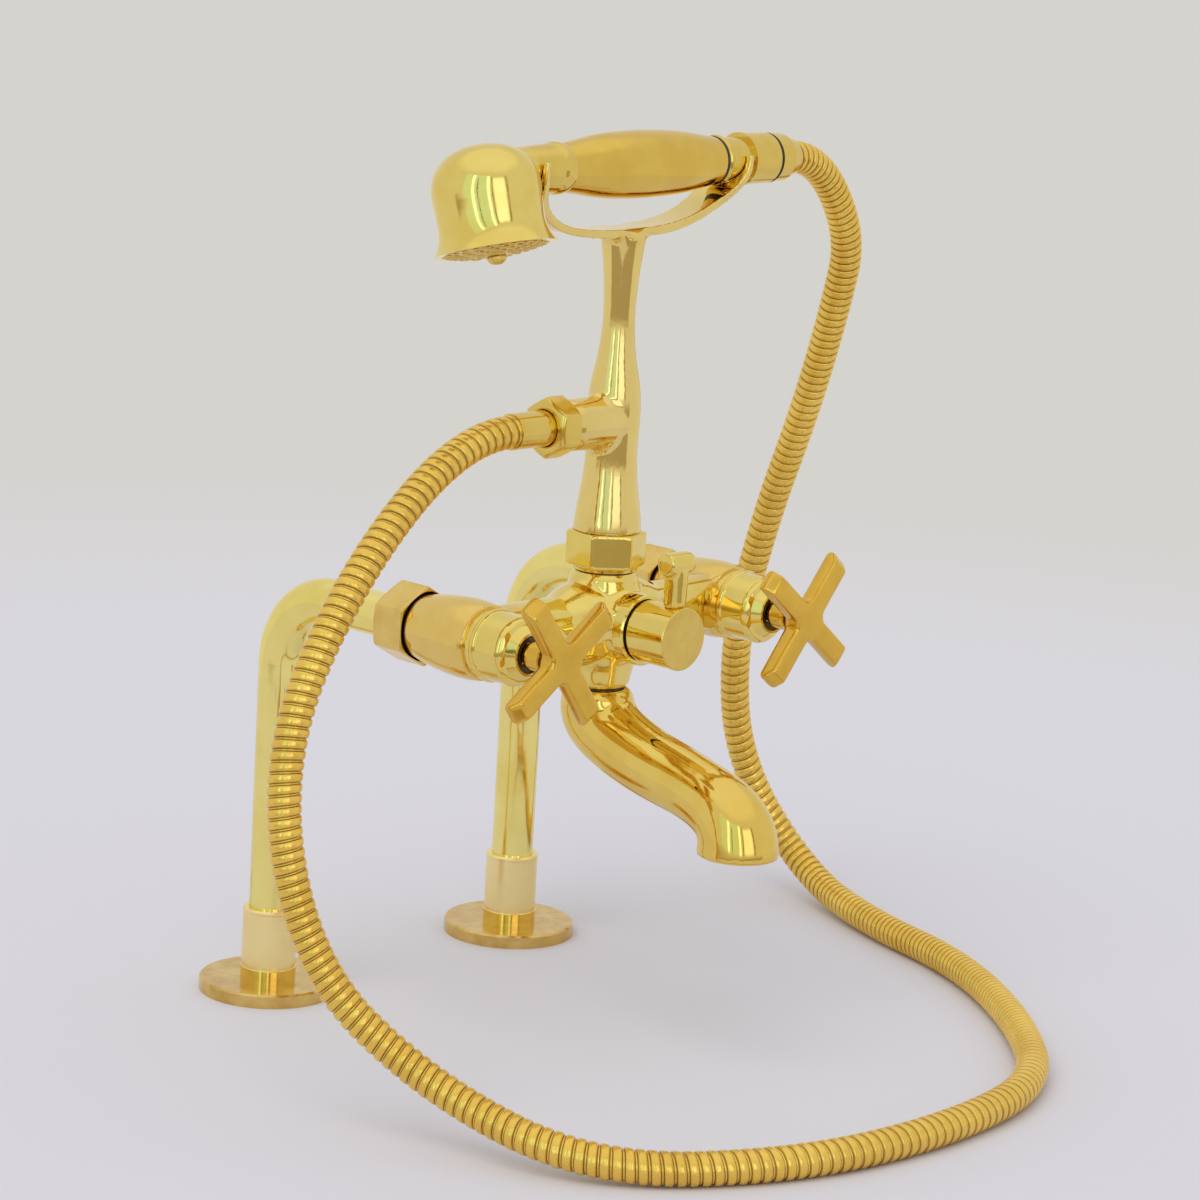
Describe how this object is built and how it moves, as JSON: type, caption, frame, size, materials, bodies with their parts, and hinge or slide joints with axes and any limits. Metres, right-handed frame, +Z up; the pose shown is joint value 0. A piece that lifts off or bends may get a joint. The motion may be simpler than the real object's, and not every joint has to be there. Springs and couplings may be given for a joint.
{
  "type": "bath shower mixer",
  "caption": "Deck-mounted polished brass bath and shower mixer with cross handles, curved spout, lever diverter, and a telephone-style handset in a cradle on a ribbed hose.",
  "frame": {"origin": "on the deck, at the midpoint between the two inlet tails", "axes": "+X along the body to the side away from the hose branch, +Y from the bather towards the legs, +Z up"},
  "size_m": [0.4368, 0.3539, 0.4453],
  "materials": {
    "polished_brass": "polished, lacquered",
    "brushed_brass": "fine brushed",
    "pale_brass": "polished drawn tube",
    "satin_brass": "satin cast",
    "plain_brass": "as machined",
    "dark_brass": "tarnished",
    "hose_brass": "bright wound strip",
    "black_rubber": "matt",
    "white_ceramic": "lapped ceramic",
    "white_plastic": "moulded",
    "steel": "plain"
  },
  "bodies": {
    "stand": {"back_nuts": "plain_brass", "back_washers": "plain_brass", "bonnet_left": "polished_brass", "bonnet_right": "polished_brass", "bonnet_seals": "black_rubber", "branch_ferrule": "polished_brass", "branch_nut": "polished_brass", "branch_washer": "black_rubber", "cartridge_left": "plain_brass", "cartridge_right": "plain_brass", "deck_gaskets": "black_rubber", "diverter_collar": "polished_brass", "diverter_seal": "black_rubber", "fixed_discs": "white_ceramic", "foot_flange_left": "brushed_brass", "foot_flange_right": "brushed_brass", "foot_shank_left": "brushed_brass", "foot_shank_right": "brushed_brass", "leg_tube_left": "pale_brass", "leg_tube_right": "pale_brass", "mixer_body": "polished_brass", "riser": "polished_brass", "riser_nut": "polished_brass", "riser_ring": "polished_brass", "riser_seal": "black_rubber", "riser_tail": "plain_brass", "riser_washer": "black_rubber", "seat_seals": "black_rubber", "shower_hose": "hose_brass", "spout": "polished_brass", "spout_washer": "black_rubber", "tube_ferrules": "plain_brass", "union_nut_left": "brushed_brass", "union_nut_right": "brushed_brass", "union_washers": "black_rubber"},
    "left_valve": {"handle_left": "satin_brass", "handle_screw_left": "steel", "spindle_left": "plain_brass", "moving_disc_left": "white_ceramic"},
    "right_valve": {"handle_right": "satin_brass", "handle_screw_right": "steel", "spindle_right": "plain_brass", "moving_disc_right": "white_ceramic"},
    "diverter": {"diverter_rotor": "plain_brass", "diverter_knob": "polished_brass", "diverter_lever": "polished_brass"},
    "handset": {"handset_head": "polished_brass", "head_seal": "black_rubber", "spray_plate": "satin_brass", "plate_screw": "satin_brass", "water_tube": "white_plastic", "grip_collar": "polished_brass", "grip": "polished_brass", "grip_ring": "dark_brass", "handset_tail": "polished_brass", "cone_ring": "black_rubber", "cone_washer": "black_rubber", "cone_ferrule": "plain_brass", "cone_nut": "polished_brass"}
  },
  "joints": [
    {"name": "left_valve_turn", "type": "hinge", "parent": "stand", "child": "left_valve", "pos_m": [-0.075, -0.15, 0.18], "axis": [0, -1, 0], "range_deg": [0, 90]},
    {"name": "right_valve_turn", "type": "hinge", "parent": "stand", "child": "right_valve", "pos_m": [0.075, -0.15, 0.18], "axis": [0, 1, 0], "range_deg": [0, 90]},
    {"name": "diverter_turn", "type": "hinge", "parent": "stand", "child": "diverter", "pos_m": [0, -0.15, 0.18], "axis": [0, 1, 0], "range_deg": [0, 90]},
    {"name": "handset_lift", "type": "slide", "parent": "stand", "child": "handset", "axis": [0, 0, 1], "range_m": [0, 0.01]}
  ]
}
